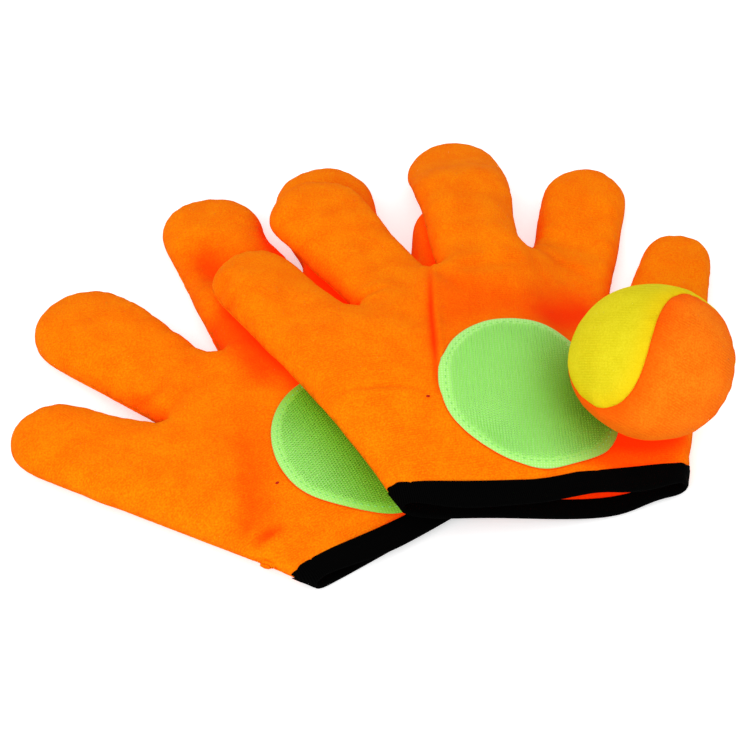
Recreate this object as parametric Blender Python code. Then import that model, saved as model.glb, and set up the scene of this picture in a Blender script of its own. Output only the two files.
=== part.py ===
"""Hook and loop catch set: two cloth gloves that lie palm up, one partly on the other,
and a stuffed cloth ball on the upper glove's palm. Sizes are in metres, +Z is up."""

import math
from collections import namedtuple

import bmesh
import bpy
import numpy as np
from mathutils import Matrix, Vector
from mathutils.bvhtree import BVHTree
from mathutils.geometry import delaunay_2d_cdt

# Glove pattern, laid flat: the wrist's corners are on y = 0, its edge bows a little below that,
# and the middle finger points along +Y
WRIST_WIDTH = 0.116
WRIST_BOW = 0.0045
SIDE_CROTCH = Vector((0.0536, 0.0955))
INNER_CROTCH = Vector((0.0235, 0.1240))
CROTCH_RADIUS = 0.0016
OUTER_ROOT = Vector((0.060, 0.060))
OUTER_REACH = 0.0750
OUTER_TIP_RADIUS = 0.0195
OUTER_LEAN = math.radians(31.5)
NEXT_ROOT = Vector((0.038, 0.105))
NEXT_REACH = 0.0720
NEXT_TIP_RADIUS = 0.0225
NEXT_LEAN = math.radians(22)
MIDDLE_ROOT = Vector((0, 0.115))
MIDDLE_REACH = 0.0776
MIDDLE_TIP_RADIUS = 0.0225

# Cloth, how far it puffs out, and how far from the seam the puff is felt
CLOTH = 0.0013
SEAM_RISE = 0.0055
PALM_PUFF = 0.0130
PUFF_REACH = 0.0140
BACK_SAG = 0.0062
SAG_REACH = 0.0065
MOUTH_LENGTH = 0.070
REAR_MOUTH_PUFF = 0.0056
FRONT_MOUTH_PUFF = 0.0062
REAR_PALM_BOW = 0.0
REAR_BACK_BOW = -0.0045
FRONT_PALM_BOW = 0.0040
FRONT_BACK_BOW = 0.0030

# Hook patch, wrist tape and the gaps between pieces that touch
PATCH_DIAMETER = 0.0720
PATCH_THICKNESS = 0.0013
REAR_PATCH_CENTRE = Vector((-0.0035, 0.0445))
FRONT_PATCH_CENTRE = Vector((0.004, 0.0450))
TAPE_WIDTH = 0.0095
TAPE_THICKNESS = 0.0006
TAPE_SETTLE = 0.025
TOUCH_GAP = 0.0003

# Ball: a tennis ball seam between two panels, slightly squashed under its own weight
BALL_WIDTH = 0.0650
BALL_HEIGHT = 0.0590
BALL_CLOTH = 0.0015
BALL_PLACE = Vector((0.1085, -0.022))
BALL_TURN = (math.radians(186.5), math.radians(-63.7), math.radians(-103.4))
SEAM_WAIST = 0.82

# How the gloves lie: where the wrist's middle is and how the glove is turned. Then, for the
# fingers from right to left, how each leans, how long it lies and how wide (1 is the pattern).
# Last, from right to left, how far each crotch is pulled from its place in the pattern
REAR_PLACE = Vector((0.0235, -0.0685))
REAR_TURN = math.radians(36.5)
REAR_SPLAY = tuple(math.radians(a) for a in (-4.5, -4.5, -16.5, -7.5, 0))
REAR_LENGTH = (1.06, 1.08, 0.98, 0.89, 0.95)
REAR_WIDTH = (1.00, 1.00, 1.00, 1.08, 1.03)
REAR_PULL = (Vector((0, 0)), Vector((0, 0)), Vector((0.0033, -0.0009)), Vector((-0.0069, 0.0076)))
FRONT_PLACE = Vector((0.0665, -0.0640))
FRONT_TURN = math.radians(12)
FRONT_SPLAY = tuple(math.radians(a) for a in (5.5, 1.3, -7.5, -6.5, -9))
FRONT_LENGTH = (0.97, 1.00, 1.09, 0.93, 1.05)
FRONT_WIDTH = (0.80, 0.85, 1.00, 0.92, 1.00)
FRONT_PULL = (Vector((0, 0)), Vector((0.0019, 0.0089)), Vector((0.0067, -0.0019)),
              Vector((-0.0011, 0.0074)))

# Draping of the upper glove: its weight against its stiffness, the rounds that it settles in,
# and how far round each point what lies below is felt, as shares of a cell
DRAPE_PULL = 28.0
DRAPE_ROUNDS = 2500
FELT_REACHES = (0.3, 0.6, 0.9)
FELT_DIRECTIONS = 16

# Mesh density; the clearances are shares of the spacing that keep inner points off given ones
EDGE_STEP = 0.0075
CROTCH_STEP = 0.0025
EDGE_INSET = 0.0032
CELL = 0.0112
CELL_CLEARANCE = 0.62
INSET_CLEARANCE = 0.3
PATCH_SIDES = 34
TAPE_STATIONS = 13
BALL_POINTS = 230
BALL_CLEARANCE = 0.55
SEAM_POINTS = 60
SEAM_SAMPLES = 400
SHARP_ANGLE = math.radians(50)

# Numbers that keep the sums steady: the least spring between two points of the flat mesh, how
# soon the thickness leaves the level near a seam, and the part of the ball's underside that is
# tried for a resting height
LEAST_SPRING = 0.02
LEVEL_FADE = 0.7
UNDERSIDE_SHARE = 0.8
UNDERSIDE_STEPS = 33

Circle = namedtuple("Circle", "centre radius")
Finger = namedtuple("Finger", "root reach lean tip")
Lie = namedtuple("Lie", "place turn splay length width pull patch mouth_puff palm_bow back_bow")
Flat = namedtuple("Flat", "points faces border rim rows patch outward edge_distance")

FINGERS = {
    "outer": Finger(OUTER_ROOT, OUTER_REACH, OUTER_LEAN, OUTER_TIP_RADIUS),
    "next": Finger(NEXT_ROOT, NEXT_REACH, NEXT_LEAN, NEXT_TIP_RADIUS),
    "middle": Finger(MIDDLE_ROOT, MIDDLE_REACH, 0.0, MIDDLE_TIP_RADIUS),
}


def clear_scene():
    for thing in list(bpy.data.objects):
        bpy.data.objects.remove(thing)


def material(name, colour, roughness):
    made = bpy.data.materials.new(name)
    made.use_nodes = True
    shader = made.node_tree.nodes["Principled BSDF"]
    shader.inputs["Base Color"].default_value = (*colour, 1)
    shader.inputs["Roughness"].default_value = roughness
    made.diffuse_color = (*colour, 1)
    return made


def turned(vector, angle):
    """The 2D vector turned anticlockwise."""
    return Matrix.Rotation(angle, 2) @ vector


def smooth(t):
    t = np.clip(t, 0, 1)
    return t * t * (3 - 2 * t)


# The flat pattern

def fingertip(name, side, lie, order):
    """Circle of a fingertip; side is 1 to the right, -1 to the left, 0 in the middle."""
    finger = FINGERS[name]
    root = Vector((finger.root.x * (side or 1), finger.root.y))
    angle = lie.splay[order] - side * finger.lean
    reach = Vector((0, finger.reach * lie.length[order]))
    return Circle(root + turned(reach, angle), finger.tip * lie.width[order])


def crotch(corner, side, pull):
    return Circle(Vector((corner.x * side, corner.y)) + pull, -CROTCH_RADIUS)


def pattern_circles(lie):
    """Circles that a belt round the glove touches, from the wrist's right corner to its left."""
    half = WRIST_WIDTH / 2
    return [
        Circle(Vector((half, 0)), 0),
        fingertip("outer", 1, lie, 0),
        crotch(SIDE_CROTCH, 1, lie.pull[0]),
        fingertip("next", 1, lie, 1),
        crotch(INNER_CROTCH, 1, lie.pull[1]),
        fingertip("middle", 0, lie, 2),
        crotch(INNER_CROTCH, -1, lie.pull[2]),
        fingertip("next", -1, lie, 3),
        crotch(SIDE_CROTCH, -1, lie.pull[3]),
        fingertip("outer", -1, lie, 4),
        Circle(Vector((-half, 0)), 0),
    ]


def tangent_normal(first, second):
    """Outward normal of the line that touches both circles; a crotch's radius is negative."""
    along = second.centre - first.centre
    lean = math.asin((first.radius - second.radius) / along.length)
    return turned(along.normalized(), lean - math.pi / 2)


def arc(circle, start, end):
    """Points and normals on the circle between two outward normals, both ends included."""
    first = math.atan2(start.y, start.x)
    sweep = math.atan2(end.y, end.x) - first
    if circle.radius > 0:
        sweep %= 2 * math.pi
        step = EDGE_STEP
    else:
        sweep = -(-sweep % (2 * math.pi))
        step = CROTCH_STEP
    count = max(2, math.ceil(abs(sweep * circle.radius) / step))
    normals = [turned(start, sweep * i / count) for i in range(count + 1)]
    return [(circle.centre + circle.radius * n, n) for n in normals]


def straight(start, end, normal, stops):
    """Points on a straight run without its ends, with one at each of the stops."""
    marks = sorted(stops) or [0.0]
    rest = 1 - marks[-1]
    count = max(1, round((end - start).length * rest / EDGE_STEP))
    marks += [marks[-1] + rest * i / count for i in range(1, count)]
    return [(start.lerp(end, t), normal) for t in marks if t > 0]


def outline(circles, stop_heights):
    """The belt's points and outward normals; its first and last runs have points at the stops."""
    normals = [tangent_normal(a, b) for a, b in zip(circles, circles[1:])]
    last = len(normals) - 1
    path = [(circles[0].centre, normals[0])]
    for i, normal in enumerate(normals):
        start = circles[i].centre + circles[i].radius * normal
        end = circles[i + 1].centre + circles[i + 1].radius * normal
        if i == 0:
            stops = [h / (end.y - start.y) for h in stop_heights]
            path += straight(start, end, normal, stops)
        elif i == last:
            stops = [h / (start.y - end.y) for h in stop_heights]
            path += reversed(straight(end, start, normal, stops))
        else:
            path += straight(start, end, normal, [])
        if i < last:
            path += arc(circles[i + 1], normal, normals[i + 1])
    path.append((circles[-1].centre, normals[-1]))
    return path


def inside(points, loop):
    """Which points lie inside the closed loop."""
    result = np.zeros(len(points), bool)
    for a, b in zip(loop, np.roll(loop, -1, axis=0)):
        crosses = (a[1] > points[:, 1]) != (b[1] > points[:, 1])
        rise = b[1] - a[1] or 1e-12
        x = a[0] + (points[:, 1] - a[1]) / rise * (b[0] - a[0])
        result ^= crosses & (points[:, 0] < x)
    return result


def nearest(points, others):
    """Index of the nearest of the others to each point, and its distance."""
    gaps = np.linalg.norm(points[:, None] - others[None], axis=2)
    index = gaps.argmin(axis=1)
    return index, gaps[np.arange(len(points)), index]


def lattice(loop, taken):
    """Points in a triangular lattice inside the loop, clear of the points already taken."""
    low = loop.min(axis=0)
    high = loop.max(axis=0)
    rows = np.arange(TAPE_WIDTH + CELL_CLEARANCE * CELL, high[1], CELL * math.sqrt(0.75))
    grid = [(x + (k % 2) * CELL / 2, y)
            for k, y in enumerate(rows) for x in np.arange(low[0], high[0], CELL)]
    grid = np.array(grid)
    grid = grid[inside(grid, loop)]
    return grid[nearest(grid, taken)[1] > CELL_CLEARANCE * CELL]


def flat_glove(lie):
    """The glove's flat pattern as a triangle mesh that both panels share."""
    levels = (0, TAPE_WIDTH / 2, TAPE_WIDTH)
    path = outline(pattern_circles(lie), levels[1:])
    points = [tuple(p) for p, n in path]
    rim_count = len(points)

    rows = []
    bend = [math.sin(math.pi * (i / (TAPE_STATIONS - 1) - 0.5)) for i in range(TAPE_STATIONS)]
    for k in range(len(levels)):
        half = points[k][0]
        inner = [(half * s, points[k][1] - WRIST_BOW * (1 - s * s)) for s in bend[1:-1]]
        first = len(points)
        points += inner
        rows.append([rim_count - 1 - k, *range(first, len(points)), k])

    ring = [lie.patch + turned(Vector((PATCH_DIAMETER / 2, 0)), math.tau * i / PATCH_SIDES)
            for i in range(PATCH_SIDES)]
    ring_ids = list(range(len(points), len(points) + PATCH_SIDES))
    points += [tuple(p) for p in ring]

    band = len(levels)
    inset = [p - EDGE_INSET * n for p, n in path[band:rim_count - band]]
    clear = nearest(np.array(inset), np.array(ring))[1] > INSET_CLEARANCE * CELL
    points += [tuple(p) for p, free in zip(inset, clear) if free]

    border = [*range(rim_count), *rows[0][1:-1]]
    loop = np.array([points[i] for i in border])
    points += [tuple(p) for p in lattice(loop, np.array(points))]

    edges = list(zip(border, border[1:] + border[:1]))
    edges += list(zip(ring_ids, ring_ids[1:] + ring_ids[:1]))
    for row in rows[1:]:
        edges += list(zip(row, row[1:]))
    found = delaunay_2d_cdt([Vector(p) for p in points], edges, [], 1, 1e-6)
    place = {old: new for new, olds in enumerate(found[3]) for old in olds}

    flat = np.array([tuple(p) for p in found[0]])
    faces = np.array([f if turns_left(flat[list(f)]) else f[::-1] for f in map(tuple, found[2])])
    border = [place[i] for i in border]
    rim = border[:rim_count]
    rows = [[place[i] for i in row] for row in rows]
    centres = flat[faces].mean(axis=1)
    patch = inside(centres, np.array([tuple(p) for p in ring]))
    index, distance = nearest(flat, flat[rim])
    outward = np.array([tuple(n) for p, n in path])[index]
    return Flat(flat, faces, border, rim, rows, patch, outward, distance)


def turns_left(corners):
    a, b, c = corners
    return (b[0] - a[0]) * (c[1] - a[1]) > (b[1] - a[1]) * (c[0] - a[0])


# Puffing and draping

def stiffness(flat):
    """Cotangent Laplacian of the flat mesh and each vertex's share of its area."""
    count = len(flat.points)
    matrix = np.zeros((count, count))
    area = np.zeros(count)
    for face in flat.faces:
        for k in range(3):
            i, j, apex = face[k], face[(k + 1) % 3], face[(k + 2) % 3]
            u = flat.points[i] - flat.points[apex]
            v = flat.points[j] - flat.points[apex]
            twice = abs(u[0] * v[1] - u[1] * v[0])
            weight = max(u @ v / twice, LEAST_SPRING) / 2
            matrix[[i, j], [i, j]] += weight
            matrix[[i, j], [j, i]] -= weight
            area[i] += twice / 6
    return matrix, area


def fullness(flat, reach):
    """0 on the sewn outline, near 1 further from it than the reach, as a filled bag stands."""
    matrix, area = stiffness(flat)
    matrix = matrix + np.diag(area / reach ** 2)
    free = np.ones(len(area), bool)
    free[flat.rim] = False
    fill = np.zeros(len(area))
    fill[free] = np.linalg.solve(matrix[np.ix_(free, free)], area[free] / reach ** 2)
    return np.sqrt(np.clip(fill, 0, None))


def palm_heights(flat, mouth_puff):
    toward_palm = smooth(flat.points[:, 1] / MOUTH_LENGTH)
    puff = mouth_puff + (PALM_PUFF - mouth_puff) * toward_palm
    heights = SEAM_RISE + puff * fullness(flat, PUFF_REACH)
    heights[flat.rim] += TOUCH_GAP / 2
    return heights


def back_heights(flat):
    """The back sags below its seam until what it lies on flattens it; the tape lifts its edge."""
    beyond_tape = (flat.points[:, 1] - TAPE_WIDTH) / TAPE_SETTLE
    floor = (TOUCH_GAP + TAPE_THICKNESS) * (1 - smooth(beyond_tape))
    heights = np.maximum(SEAM_RISE - BACK_SAG * fullness(flat, SAG_REACH), floor)
    heights[flat.rim] = SEAM_RISE - TOUCH_GAP / 2
    return heights


def edge_bow(flat, bow):
    """Pattern points with the wrist edge's middle drawn out by the bow, less so further in."""
    across = flat.points[:, 0] / (WRIST_WIDTH / 2)
    fade = 1 - smooth(flat.points[:, 1] / MOUTH_LENGTH)
    shift = -bow * np.clip(1 - across ** 2, 0, 1) * fade
    return flat.points + np.column_stack([np.zeros(len(shift)), shift])


def to_set(flat_points, lie):
    """Pattern points where the glove lies."""
    matrix = np.array(Matrix.Rotation(lie.turn, 2))
    return flat_points @ matrix.T + np.array(lie.place)


def support_heights(points, lie, surfaces):
    """Height that clears the surfaces below each point and its surroundings."""
    where = to_set(points, lie)
    angles = np.arange(0, math.tau, math.tau / FELT_DIRECTIONS)
    around = [(0, 0)] + [(reach * CELL * math.cos(a), reach * CELL * math.sin(a))
                         for reach in FELT_REACHES for a in angles]
    heights = np.zeros(len(points))
    for i, (x, y) in enumerate(where):
        for dx, dy in around:
            for tree in surfaces:
                hit = tree.ray_cast(Vector((x + dx, y + dy, 1)), Vector((0, 0, -1)))[0]
                if hit is not None:
                    heights[i] = max(heights[i], hit.z + 2 * TOUCH_GAP)
    return heights


def drape(flat, needed):
    """Lowest smooth sheet that stays on or above the needed heights."""
    matrix, area = stiffness(flat)
    diagonal = np.diag(matrix)
    pull = DRAPE_PULL * area
    heights = needed.copy()
    for _ in range(DRAPE_ROUNDS):
        settled = heights - (matrix @ heights + pull) / diagonal
        heights = np.maximum(needed, settled)
    return heights


# Solids

def vertex_normals(points, faces):
    corners = points[faces]
    across = np.cross(corners[:, 1] - corners[:, 0], corners[:, 2] - corners[:, 0])
    normals = np.zeros_like(points)
    for k in range(3):
        np.add.at(normals, faces[:, k], across)
    return normals / np.linalg.norm(normals, axis=1, keepdims=True)


def panel_normals(flat, points, facing):
    """Normals that lean outward near the seam, so a thickness set off along them never folds."""
    faces = flat.faces if facing > 0 else flat.faces[:, ::-1]
    normals = vertex_normals(points, faces)
    weight = np.clip(flat.edge_distance / PUFF_REACH, 0, 1)[:, None] ** LEVEL_FADE
    level = np.column_stack([flat.outward, np.zeros(len(points))])
    blended = weight * normals + (1 - weight) * level
    wrist = flat.rows[0]
    blended[wrist, 1] = 0
    return blended / np.linalg.norm(blended, axis=1, keepdims=True)


def add_object(name, points, faces, look, parent):
    mesh = bpy.data.meshes.new(name)
    mesh.from_pydata([tuple(p) for p in points], [], [tuple(int(i) for i in f) for f in faces])
    work = bmesh.new()
    work.from_mesh(mesh)
    bmesh.ops.triangulate(work, faces=[f for f in work.faces if len(f.verts) > 3])
    bmesh.ops.recalc_face_normals(work, faces=work.faces)
    if work.calc_volume(signed=True) < 0:
        bmesh.ops.reverse_faces(work, faces=work.faces)
    work.to_mesh(mesh)
    work.free()
    mesh.materials.append(look)
    mesh.shade_smooth()
    mesh.set_sharp_from_angle(angle=SHARP_ANGLE)
    made = bpy.data.objects.new(name, mesh)
    bpy.context.collection.objects.link(made)
    made.parent = parent
    return made


def layer(outer, inner, faces, border):
    """Closed shell between two copies of a sheet; the border is the sheet's edge in order."""
    count = len(outer)
    points = np.vstack([outer, inner])
    sides = [(a, b, b + count, a + count) for a, b in zip(border, border[1:] + border[:1])]
    return points, [*map(tuple, faces), *map(tuple, faces[:, ::-1] + count), *sides]


def panel(name, flat, surface, normals, look, parent):
    points, faces = layer(surface, surface - CLOTH * normals, flat.faces, flat.border)
    return add_object(name, points, faces, look, parent)


def hook_patch(name, flat, surface, normals, look, parent):
    """The disc of the palm's own mesh inside the patch's ring, set off from the palm."""
    faces = flat.faces[flat.patch]
    used = np.unique(faces)
    renumber = {old: new for new, old in enumerate(used)}
    faces = np.array([[renumber[i] for i in face] for face in faces])
    edges = {(a, b) for face in faces for a, b in zip(face, np.roll(face, -1))}
    follow = {a: b for a, b in sorted(edges) if (b, a) not in edges}
    border = [next(iter(follow))]
    while len(border) < len(follow):
        border.append(follow[border[-1]])
    lower = surface[used] + TOUCH_GAP * normals[used]
    upper = surface[used] + (TOUCH_GAP + PATCH_THICKNESS) * normals[used]
    points, faces = layer(upper, lower, faces, border)
    return add_object(name, points, faces, look, parent)


def wrist_tape(name, flat, surface, normals, look, parent):
    """Tape folded over one panel's wrist edge, between the two side seams."""
    lift = TOUCH_GAP + TAPE_THICKNESS
    under = CLOTH + lift
    outside = [(2, 0, lift), (1, 0, lift), (0, 0, lift), (0, -lift, TOUCH_GAP),
               (0, -lift, -CLOTH - TOUCH_GAP), (0, 0, -under), (1, 0, -under), (2, 0, -under)]
    lining = [(2, 0, TOUCH_GAP), (1, 0, TOUCH_GAP), (0, 0, TOUCH_GAP), (0, -TOUCH_GAP, 0),
              (0, -TOUCH_GAP, -CLOTH), (0, 0, -CLOTH - TOUCH_GAP),
              (1, 0, -CLOTH - TOUCH_GAP), (2, 0, -CLOTH - TOUCH_GAP)]
    section = outside + lining[::-1]
    size = len(section)
    points = []
    for i in range(TAPE_STATIONS):
        for row, beyond, offset in section:
            at = flat.rows[row][i]
            points.append(surface[at] + offset * normals[at] + np.array((0, beyond, 0)))
    faces = []
    for i in range(TAPE_STATIONS - 1):
        for k in range(size):
            a = i * size + k
            b = i * size + (k + 1) % size
            faces.append((a, b, b + size, a + size))
    for first in (0, (TAPE_STATIONS - 1) * size):
        for k in range(size // 2 - 1):
            faces.append((first + k, first + k + 1, first + size - 2 - k, first + size - 1 - k))
    return add_object(name, np.array(points), faces, look, parent)


def glove(name, lie, looks, parent, below):
    """One glove's five nodes; below holds the surfaces that it lies on, if any."""
    frame = bpy.data.objects.new(name, None)
    bpy.context.collection.objects.link(frame)
    frame.parent = parent
    frame.location = (*lie.place, 0)
    frame.rotation_euler.z = lie.turn

    flat = flat_glove(lie)
    ground = np.zeros(len(flat.points))
    if below:
        ground = drape(flat, support_heights(flat.points, lie, below))
    palm_plan = edge_bow(flat, lie.palm_bow)
    back_plan = edge_bow(flat, lie.back_bow)
    palm = np.column_stack([palm_plan, ground + palm_heights(flat, lie.mouth_puff)])
    back = np.column_stack([back_plan, ground + back_heights(flat)])
    palm_normals = panel_normals(flat, palm, 1)
    back_normals = panel_normals(flat, back, -1)
    return [
        panel(f"{name}_palm_panel", flat, palm, palm_normals, looks["glove"], frame),
        panel(f"{name}_back_panel", flat, back, back_normals, looks["glove"], frame),
        hook_patch(f"{name}_hook_patch", flat, palm, palm_normals, looks["hooks"], frame),
        wrist_tape(f"{name}_palm_binding", flat, palm, palm_normals, looks["tape"], frame),
        wrist_tape(f"{name}_back_binding", flat, back, back_normals, looks["tape"], frame),
    ]


# Ball

def seam_point(t):
    """Point on the seam of a tennis ball of radius 1."""
    a = SEAM_WAIST
    b = 1 - a
    return Vector((a * math.cos(t) + b * math.cos(3 * t),
                   a * math.sin(t) - b * math.sin(3 * t),
                   2 * math.sqrt(a * b) * math.sin(2 * t)))


def seam_rings(gap):
    """The two edges of the panels, half a gap to either side of the seam."""
    rings = ([], [])
    for i in range(SEAM_POINTS):
        t = math.tau * i / SEAM_POINTS
        along = seam_point(t + 0.001) - seam_point(t - 0.001)
        across = seam_point(t).cross(along).normalized()
        for ring, side in zip(rings, (1, -1)):
            ring.append((seam_point(t) + side * gap / 2 * across).normalized())
    return rings


def panel_side(point, seam):
    """1 on the panel that the seam's across direction points into, -1 on the other."""
    at = min(range(len(seam)), key=lambda i: (seam[i] - point).length)
    along = seam[(at + 1) % len(seam)] - seam[at - 1]
    return 1 if (point - seam[at]).dot(seam[at].cross(along)) > 0 else -1


def ball_skin():
    """Points on a unit sphere, its triangles, and the panel of each point."""
    rings = seam_rings(TOUCH_GAP / (BALL_WIDTH / 2))
    seam = [seam_point(math.tau * i / SEAM_SAMPLES) for i in range(SEAM_SAMPLES)]
    points = [*rings[0], *rings[1]]
    sides = [1] * SEAM_POINTS + [-1] * SEAM_POINTS
    spacing = math.sqrt(4 * math.pi / BALL_POINTS)
    golden = math.pi * (3 - math.sqrt(5))
    for i in range(BALL_POINTS):
        z = 1 - (2 * i + 1) / BALL_POINTS
        out = math.sqrt(1 - z * z)
        point = Vector((out * math.cos(i * golden), out * math.sin(i * golden), z))
        if min((s - point).length for s in seam) > BALL_CLEARANCE * spacing:
            points.append(point)
            sides.append(panel_side(point, seam))
    hull = bmesh.new()
    for point in points:
        hull.verts.new(point)
    hull.verts.ensure_lookup_table()
    bmesh.ops.convex_hull(hull, input=hull.verts)
    hull.verts.index_update()
    faces = [tuple(v.index for v in f.verts) for f in hull.faces]
    hull.free()
    return np.array([tuple(p) for p in points]), np.array(faces), np.array(sides)


def rest_height(surfaces, place):
    """Height of the ball's centre when it just clears the surfaces."""
    half_width = BALL_WIDTH / 2
    half_height = BALL_HEIGHT / 2
    best = half_height
    steps = np.linspace(-1, 1, UNDERSIDE_STEPS) * UNDERSIDE_SHARE * half_width
    for dx in steps:
        for dy in steps:
            out = (dx * dx + dy * dy) / half_width ** 2
            if out > UNDERSIDE_SHARE ** 2:
                continue
            start = Vector((place.x + dx, place.y + dy, 1))
            for tree in surfaces:
                hit = tree.ray_cast(start, Vector((0, 0, -1)))[0]
                if hit is not None:
                    best = max(best, hit.z + TOUCH_GAP + half_height * math.sqrt(1 - out))
    return best


def ball(looks, parent, surfaces):
    frame = bpy.data.objects.new("ball", None)
    bpy.context.collection.objects.link(frame)
    frame.parent = parent
    frame.location = (*BALL_PLACE, rest_height(surfaces, BALL_PLACE))

    points, faces, sides = ball_skin()
    turn = Matrix.Rotation(BALL_TURN[2], 3, "Z")
    turn = turn @ Matrix.Rotation(BALL_TURN[1], 3, "Y") @ Matrix.Rotation(BALL_TURN[0], 3, "X")
    points = points @ np.array(turn).T
    half = np.array((BALL_WIDTH, BALL_WIDTH, BALL_HEIGHT)) / 2

    nodes = []
    for name, side, look in (("ball_yellow_panel", -1, "yellow"), ("ball_orange_panel", 1, "orange")):
        own = faces[(sides[faces] == side).all(axis=1)]
        used = np.unique(own)
        renumber = {old: new for new, old in enumerate(used)}
        own = np.array([[renumber[i] for i in face] for face in own])
        first = 0 if side == 1 else SEAM_POINTS
        border = [renumber[first + i] for i in range(SEAM_POINTS)]
        skin = points[used]
        shell = layer(skin * half, skin * (half - BALL_CLOTH), own, border)
        nodes.append(add_object(name, *shell, looks[look], frame))
    core = points * (half - BALL_CLOTH - TOUCH_GAP)
    nodes.append(add_object("ball_filling", core, faces, looks["filling"], frame))
    return nodes


# The whole set

def world_points(node):
    return [node.matrix_world @ v.co for v in node.data.vertices]


def surface_tree(node):
    faces = [tuple(p.vertices) for p in node.data.polygons]
    return BVHTree.FromPolygons(world_points(node), faces)


def centre_on_floor(root, nodes):
    """Move the set so that its box stands on z = 0 with its middle on the Z axis."""
    bpy.context.view_layer.update()
    points = np.array([tuple(p) for node in nodes for p in world_points(node)])
    low = points.min(axis=0)
    high = points.max(axis=0)
    root.location = (-(low[0] + high[0]) / 2, -(low[1] + high[1]) / 2, -low[2])


def build():
    clear_scene()
    looks = {
        "glove": material("orange_knit", (0.95, 0.22, 0.01), 0.9),
        "hooks": material("green_hook_fabric", (0.31, 0.71, 0.10), 0.65),
        "tape": material("black_tape", (0.012, 0.012, 0.013), 0.85),
        "yellow": material("yellow_knit", (0.82, 0.72, 0.03), 0.9),
        "orange": material("ball_orange_knit", (0.95, 0.19, 0.01), 0.9),
        "filling": material("white_fibre", (0.85, 0.85, 0.82), 1.0),
    }
    root = bpy.data.objects.new("catch_set", None)
    bpy.context.collection.objects.link(root)

    rear = Lie(REAR_PLACE, REAR_TURN, REAR_SPLAY, REAR_LENGTH, REAR_WIDTH, REAR_PULL,
               REAR_PATCH_CENTRE, REAR_MOUTH_PUFF, REAR_PALM_BOW, REAR_BACK_BOW)
    front = Lie(FRONT_PLACE, FRONT_TURN, FRONT_SPLAY, FRONT_LENGTH, FRONT_WIDTH, FRONT_PULL,
                FRONT_PATCH_CENTRE, FRONT_MOUTH_PUFF, FRONT_PALM_BOW, FRONT_BACK_BOW)
    nodes = glove("rear_glove", rear, looks, root, [])
    bpy.context.view_layer.update()
    below = [surface_tree(node) for node in nodes]
    upper = glove("front_glove", front, looks, root, below)
    bpy.context.view_layer.update()
    nodes += upper
    nodes += ball(looks, root, [surface_tree(node) for node in upper])
    centre_on_floor(root, nodes)


build()
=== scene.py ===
import math
from collections import namedtuple

import bmesh
import bpy
from mathutils import Matrix, Vector, noise
from mathutils.bvhtree import BVHTree
from mathutils.kdtree import KDTree


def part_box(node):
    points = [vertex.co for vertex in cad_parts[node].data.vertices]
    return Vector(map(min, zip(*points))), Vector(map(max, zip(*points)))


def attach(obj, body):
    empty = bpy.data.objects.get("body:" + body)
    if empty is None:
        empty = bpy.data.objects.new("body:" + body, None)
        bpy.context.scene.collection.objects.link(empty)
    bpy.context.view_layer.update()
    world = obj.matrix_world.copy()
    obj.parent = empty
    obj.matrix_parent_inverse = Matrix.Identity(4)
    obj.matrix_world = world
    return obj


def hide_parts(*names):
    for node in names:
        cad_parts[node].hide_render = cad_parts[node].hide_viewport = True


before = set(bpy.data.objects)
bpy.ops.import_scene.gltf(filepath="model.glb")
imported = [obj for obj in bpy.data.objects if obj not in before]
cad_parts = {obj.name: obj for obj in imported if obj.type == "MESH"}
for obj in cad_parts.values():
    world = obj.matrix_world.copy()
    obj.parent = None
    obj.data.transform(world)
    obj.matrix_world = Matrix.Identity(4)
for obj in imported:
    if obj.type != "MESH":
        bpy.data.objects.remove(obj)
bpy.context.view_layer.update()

# Without a seed, noise_vector takes one from the clock
noise.seed_set(1)

# Where each glove lies: the middle of its wrist and how far it is turned. A glove's own X runs
# across the hand and its own Y towards the fingers. Then how far the rows of hooks are turned from
# the hand, the middle of the hook patch in the glove's own axes, and how wide the wrist tape's
# inside leaf is
Glove = namedtuple("Glove", "wrist turn row_turn patch inside")
GLOVES = {
    "rear_glove": Glove(Vector((0.0239, -0.0941)), math.radians(36.5), math.radians(-12),
                        Vector((-0.0037, 0.0425)), 0.0130),
    "front_glove": Glove(Vector((0.0669, -0.0896)), math.radians(12), math.radians(-9),
                         Vector((0.0035, 0.0413)), 0.0050),
}

# All lengths are in metres. The gloves' cloth: the wall of the CAD's panels, how close the rims lie
# that are sewn together, the turn at which the seam has a corner, the cloth's own wall, and the air
# that it keeps under it, on the floor and on the other glove
CAD_WALL = 0.0013
SEAM_WELD = 0.00045
SHARP_TURN = math.radians(30)
CLOTH = 0.0011
FLOOR_GAP = 0.0002
GLOVE_GAP = 0.0004

# The groove that the seam pulls into the cloth, how much fuller than the CAD the palm stands beside
# it, the small puckers that run in from it, and the swells of the palm. A pattern's TURNS say how
# often it turns in a metre
SEAM_GROOVE = 0.0007
SEAM_GROOVE_WIDTH = 0.0014
FILL_GAIN = 0.60
FILL_REACH = 0.013
PUCKER = 0.00024
PUCKER_TURNS = (110, 240)
PUCKER_FROM_SEAM = 0.0060
PUCKER_REACH = 0.0045
SWELLS = (0.0011, 0.0005)
SWELL_TURNS = (34, 75)

# The wrist's edge, which is bowed, and its tape
WRIST_BOW = 0.0045
WRIST_HALF = 0.0580
TAPE = 0.0005
TAPE_GAP = 0.0002
TAPE_WIDTH = 0.0095
TAPE_FOLD = 0.0007

# The hook patch: its disc, the side on which it is flatter, its pressed rim, and how far the
# shade painted on it beside its neighbour reaches
PATCH_RADIUS = 0.0360
PATCH_STRETCH = 1.03
PATCH_FLAT = 0.09
PATCH_FLAT_AT = math.radians(-133)
PATCH_FLAT_REACH = 0.45
PATCH_CLOTH = 0.0010
PATCH_GAP = 0.0003
PATCH_BEVEL = 0.0002
PATCH_RIM = 0.0024
PATCH_SHADE_REACH = 0.0170

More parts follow.
